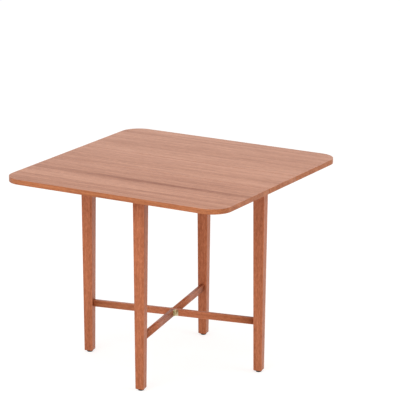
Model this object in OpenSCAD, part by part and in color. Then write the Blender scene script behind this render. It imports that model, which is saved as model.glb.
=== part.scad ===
// Drop-leaf dining table with two swinging gate legs, shown open.
// X runs along the leaf seams, Y across the leaves, Z up from the floor.

/* [Top] */
// Length of the top along the leaf seams
top_l = 904; // [760:2:1200]
// Depth of the open top, across the panel and both leaves
top_d = 904; // [800:2:1100]
// Height of the top's upper face above the floor
top_h = 750; // [650:1:900]
// Thickness of the boards
slab_t = 18.5; // [16:0.5:28]
// Depth of the fixed centre panel
panel_d = 202; // [196:1:280]
// Gap along each leaf seam
seam_gap = 1; // [0.8:0.1:1.6]
// Radius of the top's four outer corners
corner_r = 75; // [20:1:140]
// Radius of the eased edges of the boards
board_ease = 2; // [0.5:0.5:4]

/* [Legs] */
// How far the fixed legs' circle lies inside the ends of the top
fixed_inset = 117; // [80:1:140]
// How far the gate legs' circle lies inside the edges of the open leaves
gate_inset = 114; // [80:1:140]
// Distance of a fixed leg's centre from the nearer seam edge of the panel
leg_setback = 40.5; // [36:0.5:54]
// Width of a leg at its top
leg_top_w = 44; // [40:0.5:52]
// Width of a leg at the floor
leg_foot_w = 32; // [28:0.5:40]
// Radius of the eased edges of the legs
leg_ease = 2; // [0.5:0.5:4]
// Size of the bevel round the foot of a leg
foot_bevel = 2.5; // [1:0.5:4]
// Gap between a gate leg and the leaf that rests on it
leaf_rest_gap = 0.3; // [0.2:0.1:1]

/* [Rails] */
// Thickness of the rails and stretchers
rail_t = 15; // [14:0.5:20]
// Height of the stretchers
stretcher_h = 25; // [22:1:40]
// Height of the stretchers' underside above the floor
stretcher_z = 181; // [120:1:320]
// Height of the gates' upper rails
gate_rail_h = 32; // [28:1:50]
// Depth of the gates' upper rails below the top boards
gate_rail_drop = 7.5; // [7:0.5:12]
// Size of the small bevels along rails and stretchers
rail_bevel = 1; // [0.5:0.25:2]
// Gap between a gate's butt ends and the fixed frame
stop_gap = 0.3; // [0.2:0.1:1]

/* [Joinery] */
// Length of the tenons
tenon_l = 20; // [12:1:24]
// Thickness of the tenons
tenon_t = 9; // [6:0.5:10]
// Height of the shoulders above and below a tenon
tenon_shoulder = 4; // [2:0.5:8]
// Room between a tenon's end and the bottom of its mortise
tenon_room = 0.5; // [0.3:0.1:2]
// Distance between the screws that hold the top to its rail
top_screw_pitch = 150; // [100:5:170]
// Depth of the panel that a top screw reaches
top_screw_bite = 12; // [8:1:14]
// Thickness of rail left above a top screw's head
top_screw_web = 20; // [12:1:24]
// Radius of a top screw
top_screw_r = 2.2; // [1.8:0.1:2.6]

/* [Leaf hinges] */
// Length of a leaf hinge along its pin
leaf_hinge_l = 64; // [48:2:80]
// Width of one plate of a leaf hinge, from the pin's axis
leaf_hinge_w = 24; // [20:0.5:30]
// Thickness of a leaf hinge's plates
leaf_hinge_t = 1.6; // [1.2:0.1:2]
// Outer radius of a leaf hinge's knuckles
leaf_knuckle_r = 3; // [2.6:0.1:3.4]
// Radius of a leaf hinge's pin
leaf_pin_r = 1.25; // [1:0.05:1.5]
// Distance of the outer leaf hinges from the middle one
leaf_hinge_pitch = 245; // [200:5:250]
// Least room along the seam between an outer leaf hinge and a fixed leg
leaf_hinge_room = 26; // [10:1:27]

/* [Gate hinges] */
// Length of an upper gate hinge along its pin
upper_hinge_l = 28; // [24:1:32]
// Width of one plate of a gate hinge, from the pin's axis
gate_hinge_w = 12; // [11:0.5:16]
// Thickness of a gate hinge's plates
gate_hinge_t = 1.2; // [1:0.1:1.4]
// Outer radius of a gate hinge's knuckles
gate_knuckle_r = 2.4; // [2.2:0.1:2.8]
// Radius of a gate hinge's pin
gate_pin_r = 1; // [0.8:0.05:1.2]

/* [Hardware] */
// Running clearance of a pin in its knuckles
pin_play = 0.05; // [0.02:0.01:0.1]
// Gap between neighbouring knuckles
knuckle_gap = 0.4; // [0.3:0.1:0.6]
// Clearance between moving faces
face_play = 0.3; // [0.2:0.1:0.5]
// Clearance of a screw in its hole
screw_play = 0.05; // [0.03:0.01:0.1]
// Radius of a leaf hinge screw
leaf_screw_r = 1.6; // [1.3:0.1:1.8]
// Length of a leaf hinge screw
leaf_screw_l = 13; // [9:0.5:14]
// Radius of a gate hinge screw
gate_screw_r = 1.1; // [0.9:0.1:1.3]
// Length of a gate hinge screw
gate_screw_l = 9; // [6:0.5:11]

/* [Glides] */
// Radius of a glide
glide_r = 11; // [8:0.5:13]
// Height of a glide under its leg
glide_h = 6; // [4:0.5:10]
// Radius of a glide's nail
glide_nail_r = 1.3; // [1:0.1:1.6]
// Length of a glide's nail
glide_nail_l = 16; // [10:1:24]

/* [Hidden] */
$fn = 48;

panel_wood = "#b87050";
leaf_wood = "#bd7655";
leg_wood = "#b5694a";
rail_wood = "#ad6041";
brass = "#c8b076";
steel = "#9a9a98";
glide_black = "#1f1b19";

front = -1;
rear = 1;
left = -1;
right = 1;
ease_steps = 3;
// Corners of the boards, as radius and number of steps
outer_corner = [corner_r, 16];
seam_corner = [board_ease + 1, 3];
tiny = 0.01;

top_z = top_h - slab_t;
leaf_d = (top_d - panel_d) / 2 - seam_gap;
seam_y = (panel_d + seam_gap) / 2;
leaf_pin_drop = leaf_knuckle_r + face_play;
leaf_pin_z = top_z - leaf_pin_drop;
leaf_knuckles = 5;

// The fixed frame is turned away from the seams, which gives each gate room to close beside it
fixed_reach = top_l / 2 - fixed_inset;
gate_reach = top_d / 2 - gate_inset;
frame_turn = asin((panel_d / 2 - leg_setback) / fixed_reach);
leg_half = leg_top_w / 2 * (cos(frame_turn) + sin(frame_turn));
leaf_hinge_x = min(
    leaf_hinge_pitch,
    fixed_reach * cos(frame_turn) - leg_half - leaf_hinge_room - leaf_hinge_l / 2);

gate_leg_z = top_z - leaf_rest_gap;
gate_rail_z = top_z - gate_rail_drop - gate_rail_h;
top_rail_h = gate_rail_drop + gate_rail_h;
gate_pin_off = gate_knuckle_r + face_play;
gate_pin_xy = rail_t / 2 + gate_pin_off;
gate_knuckles = 5;
lower_hinge_l = stretcher_h - 1;
upper_hinge_z = gate_rail_z + gate_rail_h / 2;
lower_hinge_z = stretcher_z + stretcher_h / 2;

// Screw places on a leaf hinge: along the pin, then out from it
leaf_screw_at = [
    [-0.34 * leaf_hinge_l, 0.58 * leaf_hinge_w],
    [0, 0.76 * leaf_hinge_w],
    [0.34 * leaf_hinge_l, 0.58 * leaf_hinge_w]
];
// Screw places on a gate hinge of length l, in the same order
function gate_screw_at(l) = [
    [-0.27 * l, 0.63 * gate_hinge_w],
    [0.27 * l, 0.63 * gate_hinge_w]
];
top_screw_at = [for (k = [-1.5 : 1 : 1.5]) k * top_screw_pitch];

function screw_head_r(r) = 2 * r;
function leg_w(z) = leg_foot_w + (leg_top_w - leg_foot_w) * z / top_z;
function leg_face(reach, z) = reach - leg_w(z) / 2;

// Lofts

// Points of a quarter circle
function quarter(cx, cy, r, from, steps) =
    [for (k = [0 : steps]) let(a = from + 90 * k / steps) [cx + r * cos(a), cy + r * sin(a)]];

// Corner of an outline, [radius, steps], drawn in by inset
function corner(sx, sy, x, y, c, inset) =
    quarter(sx * (x - c[0]), sy * (y - c[0]), c[0] - inset,
        sx > 0 ? (sy > 0 ? 0 : -90) : (sy > 0 ? 90 : 180), c[1]);

// Outline of a rectangle, with one kind of corner at -Y and one at +Y, drawn in by inset
function ring(l, d, c_minus, c_plus, inset) =
    let(x = l / 2, y = d / 2)
    concat(
        corner(1, -1, x, y, c_minus, inset),
        corner(1, 1, x, y, c_plus, inset),
        corner(-1, 1, x, y, c_plus, inset),
        corner(-1, -1, x, y, c_minus, inset));

// Solid through a stack of outlines with equal numbers of points, each at its own height
module loft(rings, heights) {
    n = len(rings[0]);
    top_ring = (len(rings) - 1) * n;
    polyhedron(
        points = [for (i = [0 : len(rings) - 1]) for (p = rings[i]) [p[0], p[1], heights[i]]],
        faces = concat(
            [[for (j = [0 : n - 1]) j]],
            [[for (j = [n - 1 : -1 : 0]) top_ring + j]],
            [for (i = [0 : len(rings) - 2]) for (j = [0 : n - 1])
                [i * n + j, (i + 1) * n + j, (i + 1) * n + (j + 1) % n, i * n + (j + 1) % n]]));
}

// Board with eased edges; its lower face lies at z = 0
module board(l, d, c_minus, c_plus) {
    low = [for (k = [0 : ease_steps]) 90 * k / ease_steps];
    insets = [for (a = low) board_ease * (1 - sin(a))];
    rises = [for (a = low) board_ease * (1 - cos(a))];
    last = ease_steps;
    loft(
        [for (k = [0 : last]) ring(l, d, c_minus, c_plus, insets[k]),
         for (k = [last : -1 : 0]) ring(l, d, c_minus, c_plus, insets[k])],
        [for (k = [0 : last]) rises[k],
         for (k = [last : -1 : 0]) slab_t - rises[k]]);
}

// Tapered leg blank that stands on its glide and ends at height z_top
module leg_blank(z_top) {
    foot = leg_w(0) - 2 * foot_bevel;
    foot_corner = [leg_ease / 2, ease_steps];
    corner = [leg_ease, ease_steps];
    loft(
        [ring(foot, foot, foot_corner, foot_corner, 0),
         ring(leg_w(0), leg_w(0), corner, corner, 0),
         ring(leg_w(z_top), leg_w(z_top), corner, corner, 0)],
        [glide_h, glide_h + foot_bevel, z_top]);
}

// Screws

// Countersunk screw: its head is flush with z = 0 and it points along +Z; grow widens it to its hole
module flat_screw(r, l, grow = 0) {
    head = screw_head_r(r);
    point = 2 * r;
    rotate_extrude()
        polygon([
            [0, -grow], [head + grow, -grow], [head + grow, 0], [r + grow, head - r],
            [r + grow, l - point + grow], [0, l + grow]
        ]);
}

// Top screw: the underside of its head is at z = 0 and it points along +Z
module pan_screw(r, l, grow = 0) {
    head = 2 * r;
    rotate_extrude()
        polygon([
            [0, -r], [0.8 * head, -r], [head, -0.5 * r], [head, 0], [r + grow, 0],
            [r + grow, l - 2 * r + grow], [0, l + grow]
        ]);
}

// Hinges, about a pin along Z, mounted on the plane y = off

// Plain plate on y = 0 to t, with its two outer corners rounded
module plate_blank(l, w, t) {
    r = w / 6;
    translate([0, 0, -l / 2])
        cube([w - r, t, l]);
    translate([0, 0, r - l / 2])
        cube([w, t, l - 2 * r]);
    for (z = [r - l / 2, l / 2 - r])
        translate([w - r, 0, z])
            rotate([-90, 0, 0])
                cylinder(r = r, h = t);
}

// Plate with every second knuckle, from the first one given
module hinge_plate(l, w, t, knuckle_r, pin_r, off, knuckles, first, screw_r, screws) {
    pitch = (l + knuckle_gap) / knuckles;
    notch = knuckle_r + face_play;
    difference() {
        union() {
            translate([0, off - t, 0])
                plate_blank(l, w, t);
            for (k = [first : 2 : knuckles - 1])
                translate([0, 0, k * pitch - l / 2])
                    cylinder(r = knuckle_r, h = pitch - knuckle_gap);
        }
        for (k = [1 - first : 2 : knuckles - 1])
            translate([-tiny, off - t - tiny, k * pitch - l / 2 - knuckle_gap])
                cube([notch + tiny, t + 2 * tiny, pitch + knuckle_gap]);
        translate([0, 0, -l])
            cylinder(r = pin_r + pin_play, h = 2 * l);
        for (s = screws)
            translate([s[1], off - t, s[0]])
                rotate([-90, 0, 0])
                    flat_screw(screw_r, 4 * t, screw_play);
    }
}

// Pin with a small head at each end
module hinge_pin(l, r) {
    head_h = 0.5 * r;
    rotate_extrude()
        polygon([
            [0, -l / 2 - head_h], [1.2 * r, -l / 2 - head_h], [1.5 * r, -l / 2],
            [r, -l / 2], [r, l / 2], [1.5 * r, l / 2],
            [1.2 * r, l / 2 + head_h], [0, l / 2 + head_h]
        ]);
}

// Screws of one plate, or their pilot holes
module plate_screws(t, off, screw_r, screw_l, screws, grow = 0) {
    for (s = screws)
        translate([s[1], off - t, s[0]])
            rotate([-90, 0, 0])
                flat_screw(screw_r, screw_l, grow);
}

// Places

// Pin of the leaf hinge at one seam, side -1 or 1, turned so that local x points across the seam
module at_leaf_pin(side, place, towards_panel) {
    heading = towards_panel ? -side : side;
    translate([place * leaf_hinge_x, side * seam_y, leaf_pin_z])
        rotate([90, 0, 90 * heading])
            children();
}

// Frame of the base, with x along the fixed frame
module in_frame() {
    rotate([0, 0, frame_turn])
        children();
}

// The front gate's half of the base, or the rear gate's by half a turn
module on_gate_side(side) {
    rotate([0, 0, frame_turn + (side == rear ? 180 : 0)])
        children();
}

// Pin of a gate hinge at height z
module at_gate_pin(side, z) {
    on_gate_side(side)
        translate([gate_pin_xy, -gate_pin_xy, z])
            children();
}

// Local axes of the plate that is screwed to the gate
module as_gate_plate() {
    rotate([180, 0, -90])
        children();
}

// Hinge parts

module panel_plate(side, place) {
    color(brass)
        at_leaf_pin(side, place, true)
            hinge_plate(leaf_hinge_l, leaf_hinge_w, leaf_hinge_t, leaf_knuckle_r, leaf_pin_r,
                leaf_pin_drop, leaf_knuckles, 0, leaf_screw_r, leaf_screw_at);
}

module leaf_plate(side, place) {
    color(brass)
        at_leaf_pin(side, place, false)
            hinge_plate(leaf_hinge_l, leaf_hinge_w, leaf_hinge_t, leaf_knuckle_r, leaf_pin_r,
                leaf_pin_drop, leaf_knuckles, 1, leaf_screw_r, leaf_screw_at);
}

module leaf_pin(side, place) {
    color(steel)
        at_leaf_pin(side, place, true)
            hinge_pin(leaf_hinge_l, leaf_pin_r);
}

module leaf_screws(side, towards_panel, grow = 0) {
    for (place = [-1 : 1])
        at_leaf_pin(side, place, towards_panel)
            plate_screws(leaf_hinge_t, leaf_pin_drop, leaf_screw_r, leaf_screw_l,
                leaf_screw_at, grow);
}

module frame_plate(side, z, l) {
    color(brass)
        at_gate_pin(side, z)
            hinge_plate(l, gate_hinge_w, gate_hinge_t, gate_knuckle_r, gate_pin_r,
                gate_pin_off, gate_knuckles, 0, gate_screw_r, gate_screw_at(l));
}

module gate_plate(side, z, l) {
    color(brass)
        at_gate_pin(side, z)
            as_gate_plate()
                hinge_plate(l, gate_hinge_w, gate_hinge_t, gate_knuckle_r, gate_pin_r,
                    gate_pin_off, gate_knuckles, 1, gate_screw_r, gate_screw_at(l));
}

module gate_pin(side, z, l) {
    color(steel)
        at_gate_pin(side, z)
            hinge_pin(l, gate_pin_r);
}

module frame_screws(side, z, l, grow = 0) {
    at_gate_pin(side, z)
        plate_screws(gate_hinge_t, gate_pin_off, gate_screw_r, gate_screw_l,
            gate_screw_at(l), grow);
}

module gate_screws(side, z, l, grow = 0) {
    at_gate_pin(side, z)
        as_gate_plate()
            plate_screws(gate_hinge_t, gate_pin_off, gate_screw_r, gate_screw_l,
                gate_screw_at(l), grow);
}

// Both hinges of one gate side, as a list of height and length
gate_hinges = [[upper_hinge_z, upper_hinge_l], [lower_hinge_z, lower_hinge_l]];

// Boards

module top_screw_set(grow = 0) {
    in_frame()
        for (x = top_screw_at)
            translate([x, 0, top_z - top_screw_web])
                pan_screw(top_screw_r, top_screw_web + top_screw_bite, grow);
}

module centre_panel() {
    color(panel_wood)
        difference() {
            translate([0, 0, top_z])
                board(top_l, panel_d, seam_corner, seam_corner);
            for (side = [front, rear])
                leaf_screws(side, true, screw_play);
            top_screw_set(screw_play);
        }
}

// Leaf with its big corners away from the seam
module leaf(side) {
    color(leaf_wood)
        difference() {
            translate([0, side * (panel_d / 2 + seam_gap + leaf_d / 2), top_z])
                board(top_l, leaf_d,
                    side == front ? outer_corner : seam_corner,
                    side == front ? seam_corner : outer_corner);
            leaf_screws(side, false, screw_play);
        }
}

// Base, each piece along local x from the centre to its leg

// Height band of a tenon in a bar that stands on z and is h high
function tenon_z(z) = z + tenon_shoulder;
function tenon_h(h) = h - 2 * tenon_shoulder;
function tenon_end(reach, z, h) = leg_face(reach, z + h) + tenon_l;

module mortise(reach, z, h) {
    translate([leg_face(reach, z) - leg_top_w / 4, -tenon_t / 2, tenon_z(z)])
        cube([
            tenon_end(reach, z, h) + tenon_room - leg_face(reach, z) + leg_top_w / 4,
            tenon_t, tenon_h(h)
        ]);
}

module glide_nail_hole() {
    translate([0, 0, glide_h - tiny])
        cylinder(r = glide_nail_r + screw_play, h = glide_nail_l + screw_play + tiny);
}

module leg(reach, z_top, rail_z, rail_h) {
    color(leg_wood)
        difference() {
            translate([reach, 0, 0])
                difference() {
                    leg_blank(z_top);
                    glide_nail_hole();
                }
            mortise(reach, rail_z, rail_h);
            mortise(reach, stretcher_z, stretcher_h);
        }
}

// Section of a rail, with its long edges bevelled, standing on z
module bar_section(z, h) {
    y = rail_t / 2;
    b = rail_bevel;
    polygon([
        [-y, z + b], [b - y, z], [y - b, z], [y, z + b],
        [y, z + h - b], [y - b, z + h], [b - y, z + h], [-y, z + h - b]
    ]);
}

// Bar whose far end fits the leg's sloping face; its near end does too, or is square at x = start
module bar(reach, z, h, start, both_ends) {
    low = leg_face(reach, z);
    high = leg_face(reach, z + h);
    intersection() {
        translate([-reach, 0, 0])
            rotate([90, 0, 90])
                linear_extrude(2 * reach)
                    bar_section(z, h);
        translate([0, rail_t, 0])
            rotate([90, 0, 0])
                linear_extrude(2 * rail_t)
                    polygon([
                        [both_ends ? -low : start, z], [low, z],
                        [high, z + h], [both_ends ? -high : start, z + h]
                    ]);
    }
}

module tenon(reach, z, h) {
    root = leg_face(reach, z + h) - tenon_l / 2;
    translate([root, -tenon_t / 2, tenon_z(z)])
        cube([tenon_end(reach, z, h) - root, tenon_t, tenon_h(h)]);
}

module fixed_bar(z, h) {
    bar(fixed_reach, z, h, 0, true);
    tenon(fixed_reach, z, h);
    rotate([0, 0, 180])
        tenon(fixed_reach, z, h);
}

module gate_bar(z, h) {
    bar(gate_reach, z, h, rail_t / 2 + stop_gap, false);
    tenon(gate_reach, z, h);
}

module top_rail() {
    color(rail_wood)
        difference() {
            in_frame()
                fixed_bar(gate_rail_z, top_rail_h);
            in_frame()
                for (x = top_screw_at)
                    translate([x, 0, gate_rail_z - tiny])
                        cylinder(
                            r = 2 * top_screw_r + face_play,
                            h = top_rail_h - top_screw_web + tiny);
            top_screw_set(screw_play);
            for (side = [front, rear])
                frame_screws(side, upper_hinge_z, upper_hinge_l, screw_play);
        }
}

module stretcher() {
    color(rail_wood)
        difference() {
            in_frame()
                fixed_bar(stretcher_z, stretcher_h);
            for (side = [front, rear])
                frame_screws(side, lower_hinge_z, lower_hinge_l, screw_play);
        }
}

module gate_rail(side) {
    color(rail_wood)
        difference() {
            on_gate_side(side)
                rotate([0, 0, -90])
                    gate_bar(gate_rail_z, gate_rail_h);
            gate_screws(side, upper_hinge_z, upper_hinge_l, screw_play);
        }
}

module gate_stretcher(side) {
    color(rail_wood)
        difference() {
            on_gate_side(side)
                rotate([0, 0, -90])
                    gate_bar(stretcher_z, stretcher_h);
            gate_screws(side, lower_hinge_z, lower_hinge_l, screw_play);
        }
}

module fixed_leg(side) {
    rotate([0, 0, frame_turn + (side == left ? 180 : 0)])
        leg(fixed_reach, top_z, gate_rail_z, top_rail_h);
}

module gate_leg(side) {
    on_gate_side(side)
        rotate([0, 0, -90])
            leg(gate_reach, gate_leg_z, gate_rail_z, gate_rail_h);
}

// Glides

module glide() {
    edge = glide_r / 8;
    color(glide_black)
        rotate_extrude()
            polygon([
                [0, 0], [glide_r - edge, 0], [glide_r, edge], [glide_r, glide_h - edge],
                [glide_r - edge, glide_h], [glide_nail_r, glide_h],
                [glide_nail_r, glide_h + glide_nail_l - 2 * glide_nail_r],
                [0, glide_h + glide_nail_l]
            ]);
}

module fixed_glide(side) {
    rotate([0, 0, frame_turn])
        translate([side * fixed_reach, 0, 0])
            glide();
}

module gate_glide(side) {
    rotate([0, 0, frame_turn])
        translate([0, side * gate_reach, 0])
            glide();
}

// Nodes

module leaf_front() { leaf(front); }
module leaf_rear() { leaf(rear); }
module leg_left() { fixed_leg(left); }
module leg_right() { fixed_leg(right); }
module leg_front() { gate_leg(front); }
module leg_rear() { gate_leg(rear); }
module gate_rail_front() { gate_rail(front); }
module gate_rail_rear() { gate_rail(rear); }
module gate_stretcher_front() { gate_stretcher(front); }
module gate_stretcher_rear() { gate_stretcher(rear); }
module glide_left() { fixed_glide(left); }
module glide_right() { fixed_glide(right); }
module glide_front() { gate_glide(front); }
module glide_rear() { gate_glide(rear); }
module panel_plate_front_left() { panel_plate(front, left); }
module panel_plate_front_middle() { panel_plate(front, 0); }
module panel_plate_front_right() { panel_plate(front, right); }
module panel_plate_rear_left() { panel_plate(rear, left); }
module panel_plate_rear_middle() { panel_plate(rear, 0); }
module panel_plate_rear_right() { panel_plate(rear, right); }
module leaf_plate_front_left() { leaf_plate(front, left); }
module leaf_plate_front_middle() { leaf_plate(front, 0); }
module leaf_plate_front_right() { leaf_plate(front, right); }
module leaf_plate_rear_left() { leaf_plate(rear, left); }
module leaf_plate_rear_middle() { leaf_plate(rear, 0); }
module leaf_plate_rear_right() { leaf_plate(rear, right); }
module leaf_pin_front_left() { leaf_pin(front, left); }
module leaf_pin_front_middle() { leaf_pin(front, 0); }
module leaf_pin_front_right() { leaf_pin(front, right); }
module leaf_pin_rear_left() { leaf_pin(rear, left); }
module leaf_pin_rear_middle() { leaf_pin(rear, 0); }
module leaf_pin_rear_right() { leaf_pin(rear, right); }
module frame_plate_front_upper() { frame_plate(front, upper_hinge_z, upper_hinge_l); }
module frame_plate_front_lower() { frame_plate(front, lower_hinge_z, lower_hinge_l); }
module frame_plate_rear_upper() { frame_plate(rear, upper_hinge_z, upper_hinge_l); }
module frame_plate_rear_lower() { frame_plate(rear, lower_hinge_z, lower_hinge_l); }
module gate_plate_front_upper() { gate_plate(front, upper_hinge_z, upper_hinge_l); }
module gate_plate_front_lower() { gate_plate(front, lower_hinge_z, lower_hinge_l); }
module gate_plate_rear_upper() { gate_plate(rear, upper_hinge_z, upper_hinge_l); }
module gate_plate_rear_lower() { gate_plate(rear, lower_hinge_z, lower_hinge_l); }
module gate_pin_front_upper() { gate_pin(front, upper_hinge_z, upper_hinge_l); }
module gate_pin_front_lower() { gate_pin(front, lower_hinge_z, lower_hinge_l); }
module gate_pin_rear_upper() { gate_pin(rear, upper_hinge_z, upper_hinge_l); }
module gate_pin_rear_lower() { gate_pin(rear, lower_hinge_z, lower_hinge_l); }

module panel_hinge_screws() {
    color(brass)
        for (side = [front, rear])
            leaf_screws(side, true);
}

module leaf_hinge_screws_front() { color(brass) leaf_screws(front, false); }
module leaf_hinge_screws_rear() { color(brass) leaf_screws(rear, false); }

module frame_hinge_screws() {
    color(brass)
        for (side = [front, rear])
            for (h = gate_hinges)
                frame_screws(side, h[0], h[1]);
}

module gate_hinge_screws(side) {
    color(brass)
        for (h = gate_hinges)
            gate_screws(side, h[0], h[1]);
}

module gate_hinge_screws_front() { gate_hinge_screws(front); }
module gate_hinge_screws_rear() { gate_hinge_screws(rear); }
module top_screws() { color(steel) top_screw_set(); }

centre_panel();
leaf_front();
leaf_rear();
leg_left();
leg_right();
leg_front();
leg_rear();
top_rail();
stretcher();
gate_rail_front();
gate_rail_rear();
gate_stretcher_front();
gate_stretcher_rear();
glide_left();
glide_right();
glide_front();
glide_rear();
panel_plate_front_left();
panel_plate_front_middle();
panel_plate_front_right();
panel_plate_rear_left();
panel_plate_rear_middle();
panel_plate_rear_right();
leaf_plate_front_left();
leaf_plate_front_middle();
leaf_plate_front_right();
leaf_plate_rear_left();
leaf_plate_rear_middle();
leaf_plate_rear_right();
leaf_pin_front_left();
leaf_pin_front_middle();
leaf_pin_front_right();
leaf_pin_rear_left();
leaf_pin_rear_middle();
leaf_pin_rear_right();
frame_plate_front_upper();
frame_plate_front_lower();
frame_plate_rear_upper();
frame_plate_rear_lower();
gate_plate_front_upper();
gate_plate_front_lower();
gate_plate_rear_upper();
gate_plate_rear_lower();
gate_pin_front_upper();
gate_pin_front_lower();
gate_pin_rear_upper();
gate_pin_rear_lower();
panel_hinge_screws();
leaf_hinge_screws_front();
leaf_hinge_screws_rear();
frame_hinge_screws();
gate_hinge_screws_front();
gate_hinge_screws_rear();
top_screws();
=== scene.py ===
"""Drop-leaf dining table: boards, base, hinges and studio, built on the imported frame."""

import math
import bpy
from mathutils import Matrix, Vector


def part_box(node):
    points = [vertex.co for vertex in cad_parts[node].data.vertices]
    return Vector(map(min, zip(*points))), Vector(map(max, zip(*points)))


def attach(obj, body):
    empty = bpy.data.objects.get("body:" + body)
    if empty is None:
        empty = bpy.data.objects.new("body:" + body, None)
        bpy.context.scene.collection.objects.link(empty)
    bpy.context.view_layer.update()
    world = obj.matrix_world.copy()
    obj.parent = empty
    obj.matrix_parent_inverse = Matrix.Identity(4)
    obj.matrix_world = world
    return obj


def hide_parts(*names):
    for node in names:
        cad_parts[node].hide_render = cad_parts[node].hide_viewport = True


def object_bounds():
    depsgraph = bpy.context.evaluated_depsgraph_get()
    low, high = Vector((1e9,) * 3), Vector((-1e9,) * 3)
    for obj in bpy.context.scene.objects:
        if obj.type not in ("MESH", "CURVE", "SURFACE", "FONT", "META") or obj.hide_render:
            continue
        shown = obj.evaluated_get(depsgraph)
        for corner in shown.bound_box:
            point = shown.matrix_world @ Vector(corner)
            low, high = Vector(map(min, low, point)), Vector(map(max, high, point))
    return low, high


bl_info = {
    "name": "Drop-Leaf Table",
    "version": (1, 0, 0),
    "blender": (4, 5, 0),
    "location": "3D View > Sidebar > Drop-Leaf Table",
    "description": "Builds a square drop-leaf dining table with two swinging gate legs",
    "category": "Object",
}

import bmesh
import bpy
from bpy.props import FloatProperty, FloatVectorProperty, PointerProperty
from mathutils import Matrix, Vector

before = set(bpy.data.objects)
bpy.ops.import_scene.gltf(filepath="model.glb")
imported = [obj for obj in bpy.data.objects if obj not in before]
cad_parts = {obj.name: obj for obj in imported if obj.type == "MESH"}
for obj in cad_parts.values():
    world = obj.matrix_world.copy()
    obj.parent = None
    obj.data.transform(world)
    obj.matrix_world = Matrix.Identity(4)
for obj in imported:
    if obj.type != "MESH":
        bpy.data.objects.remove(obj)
CAD_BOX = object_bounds()

MM = 0.001
FRONT, REAR = -1, 1
SIDE_NAMES = {FRONT: "front", REAR: "rear"}
PLACES = ("left", "middle", "right")
LEVELS = ("upper", "lower")

# Sizes that the solids have too
SEAM_CORNER = 1.6 * MM
GATE_GAP = 0.3 * MM
LEAF_PLATE_THICK = 1.6 * MM
GATE_PLATE_THICK = 1.2 * MM
GATE_PLATE_WIDE = 12 * MM
GATE_PIN_OFFSET = 2.7 * MM
TOP_SCREW_RADIUS = 2.2 * MM
TOP_SCREW_PITCH = 150 * MM

# Screws of a leaf hinge's plate, as shares of its length from the middle and of its width from the pin
LEAF_SCREW_SPOTS = ((-0.34, 0.58), (0.0, 0.76), (0.34, 0.58))

# Screws of a gate hinge's plate, as a share of its width from the pin and shares of its height
GATE_SCREW_OUT = 0.63
GATE_SCREW_HEIGHTS = (-0.27, 0.27)

# Colour and sizes that the stage keeps
WHITE = (1.0, 1.0, 1.0, 1.0)
FLOOR_HALF = 30.0
LAMP_CENTRE = Vector((0, 0, 0.5))
LAMP_DISTANCE = 4.5

# Seeds of the grain
BOARD_SEED = 3.0
STAVE_SEEDS = 40.0
LEG_SEED = 52.0
FIXED_RAIL_SEED = 88.0
GATE_RAIL_SEED = 86.0

# Near edge of each stave of the top along Y, in metres, and the stave's tone
STAVES = (
    (-0.4520, 0.03), (-0.3850, 0.08), (-0.2600, -0.25), (-0.2285, -0.02), (-0.1015, 0.06),
    (-0.0330, -0.01), (0.0480, 0.07), (0.1015, 0.12), (0.1630, 0.01), (0.2480, 0.09),
    (0.3350, 0.11), (0.3980, 0.15),
)


# Places read from the frame


def middle(node):
    """Middle of a CAD node's box."""
    low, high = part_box(node)
    return (low + high) / 2


def size(node):
    """Size of a CAD node's box."""
    low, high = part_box(node)
    return high - low


RIGHT_FOOT = middle("glide_right")
FRAME_TURN = math.atan2(RIGHT_FOOT.y, RIGHT_FOOT.x)
GATE_TURNS = {FRONT: FRAME_TURN - math.pi / 2, REAR: FRAME_TURN + math.pi / 2}
FIXED_REACH = RIGHT_FOOT.xy.length
GATE_REACH = middle("glide_front").xy.length


def standing(turn, x=0.0, z=0.0):
    """Place of something that stands upright, turned about Z, out along its turned X at a height."""
    return Matrix.Rotation(turn, 4, "Z") @ Matrix.Translation((x, 0, z))


# Settings


class DROPLEAF_PG_boards(bpy.types.PropertyGroup):
    """Sizes and finish of the three boards of the top"""

    corner: FloatProperty(
        name="Corner Radius", description="Radius of the top's outer corners",
        default=75 * MM, min=20 * MM, max=140 * MM, subtype="DISTANCE", unit="LENGTH")
    ease: FloatProperty(
        name="Eased Edge", description="Radius of the boards' eased edges",
        default=2 * MM, min=0.5 * MM, max=4 * MM, subtype="DISTANCE", unit="LENGTH")
    light: FloatVectorProperty(
        name="Light Wood", description="Lightest tone of the boards' grain",
        default=(0.64, 0.230, 0.089), min=0, max=1, subtype="COLOR")
    mid: FloatVectorProperty(
        name="Middle Wood", description="Middle tone of the boards' grain",
        default=(0.465, 0.154, 0.057), min=0, max=1, subtype="COLOR")
    dark: FloatVectorProperty(
        name="Dark Wood", description="Darkest tone of the boards' grain",
        default=(0.28, 0.080, 0.028), min=0, max=1, subtype="COLOR")
    figure: FloatProperty(
        name="Figure", description="Strength of the grain's streaks on the boards",
        default=1.0, min=0, max=2, subtype="FACTOR")
    mottle: FloatProperty(
        name="Mottle", description="Strength of the small flecks on the boards",
        default=0.8, min=0, max=2, subtype="FACTOR")
    matt: FloatProperty(
        name="Roughness", description="Roughness of the wood's surface",
        default=0.42, min=0.1, max=0.9, subtype="FACTOR")
    gloss: FloatProperty(
        name="Gloss", description="Index of refraction of the wood's finish",
        default=1.4, min=1.1, max=1.6)
    shine: FloatProperty(
        name="Shine", description="Reflection of the wood under its lacquer",
        default=0.2, min=0, max=1, subtype="FACTOR")
    lacquer: FloatProperty(
        name="Lacquer", description="Weight of the clear lacquer over the wood",
        default=0.53, min=0, max=1, subtype="FACTOR")
    coat_matt: FloatProperty(
        name="Lacquer Roughness", description="Roughness of the clear lacquer",
        default=0.38, min=0, max=1, subtype="FACTOR")


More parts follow.
